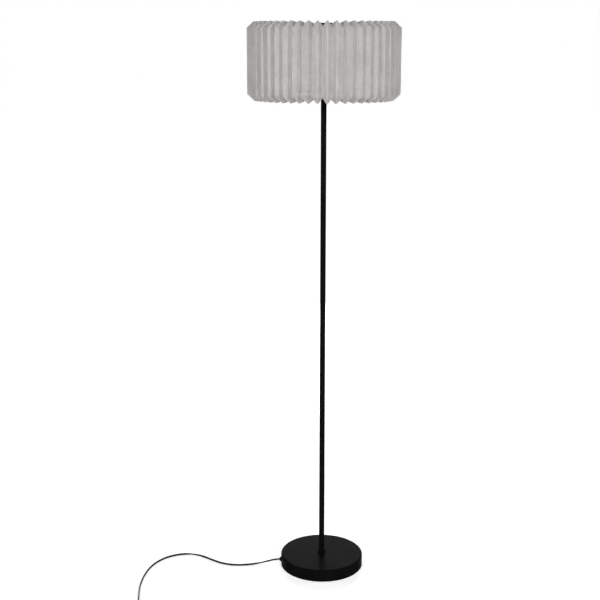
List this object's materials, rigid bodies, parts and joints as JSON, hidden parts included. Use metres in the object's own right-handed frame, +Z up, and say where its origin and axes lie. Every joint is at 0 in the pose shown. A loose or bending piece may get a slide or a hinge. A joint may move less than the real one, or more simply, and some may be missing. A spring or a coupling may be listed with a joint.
{
  "type": "pleated floor lamp",
  "caption": "Slim black floor lamp with a round weighted foot, a screwed tube pole and a pleated linen drum shade with bevelled rims, carried on a wire harp.",
  "frame": {"origin": "centre of the foot's underside, on the floor under the pole", "axes": "+Z up along the pole, -Y to the front, the mains cord leaves the foot towards -X"},
  "size_m": [0.6981, 0.6172, 1.5],
  "materials": {
    "black_coat": "matt black powder coat with a fine grain",
    "raw_iron": "raw cast",
    "foot_foam": "black foam pad",
    "zinc_steel": "zinc plated",
    "card_liner": "pressed fibre tube",
    "black_phenolic": "moulded phenolic",
    "contact_brass": "plain",
    "nickel": "nickel plated",
    "white_plastic": "satin moulded",
    "opal_glass": "opal, satin",
    "linen": "fine linen weave on a stiff backing",
    "white_wire": "white enamel",
    "cord_sheath": "flat twin black sheath",
    "gland_rubber": "soft black",
    "plug_plastic": "moulded black"
  },
  "bodies": {
    "stand": {"base_cover": "black_coat", "base_weight": "raw_iron", "base_pad": "foot_foam", "base_washer": "zinc_steel", "base_lock_washer": "zinc_steel", "base_nut": "zinc_steel", "base_nipple": "zinc_steel", "pole_collar": "black_coat", "pole_lower": "black_coat", "pole_middle": "black_coat", "pole_upper": "black_coat", "pole_inserts": "zinc_steel", "coupling_nipples": "zinc_steel", "top_nipple": "zinc_steel", "harp_saddle": "black_coat", "harp": "black_coat", "socket_cap": "black_coat", "socket_shell": "black_coat", "socket_liner": "card_liner", "socket_core": "black_phenolic", "socket_screw_shell": "contact_brass", "socket_contact": "contact_brass", "inner_cable": "cord_sheath", "cord_gland": "gland_rubber", "cord_lead": "cord_sheath", "cord_coil": "cord_sheath", "cord_tail": "cord_sheath", "cord_tie": "gland_rubber", "plug_body": "plug_plastic", "plug_blades": "contact_brass"},
    "shade": {"shade_fabric": "linen", "shade_top_frame": "white_wire", "shade_bottom_ring": "white_wire"},
    "finial": {"finial": "black_coat"},
    "bulb": {"bulb_contact": "contact_brass", "bulb_cap": "nickel", "bulb_collar": "white_plastic", "bulb_globe": "opal_glass"},
    "knob": {"switch_knob": "black_phenolic"},
    "left_sleeve": {"harp_sleeve_left": "black_coat"},
    "right_sleeve": {"harp_sleeve_right": "black_coat"}
  },
  "joints": [
    {"name": "shade_turn", "type": "hinge", "parent": "stand", "child": "shade", "pos_m": [0, 0, 1.4875], "axis": [0, 0, 1], "continuous": true},
    {"name": "finial_turn", "type": "hinge", "parent": "stand", "child": "finial", "pos_m": [0, 0, 1.4925], "axis": [0, 0, 1], "continuous": true},
    {"name": "bulb_turn", "type": "hinge", "parent": "stand", "child": "bulb", "pos_m": [0, 0, 1.37], "axis": [0, 0, 1], "continuous": true},
    {"name": "knob_turn", "type": "hinge", "parent": "stand", "child": "knob", "pos_m": [0, -0.0157, 1.3441], "axis": [0, -1, 0], "continuous": true},
    {"name": "left_sleeve_lift", "type": "slide", "parent": "stand", "child": "left_sleeve", "axis": [0, 0, 1], "range_m": [0, 0.014]},
    {"name": "right_sleeve_lift", "type": "slide", "parent": "stand", "child": "right_sleeve", "axis": [0, 0, 1], "range_m": [0, 0.014]}
  ]
}
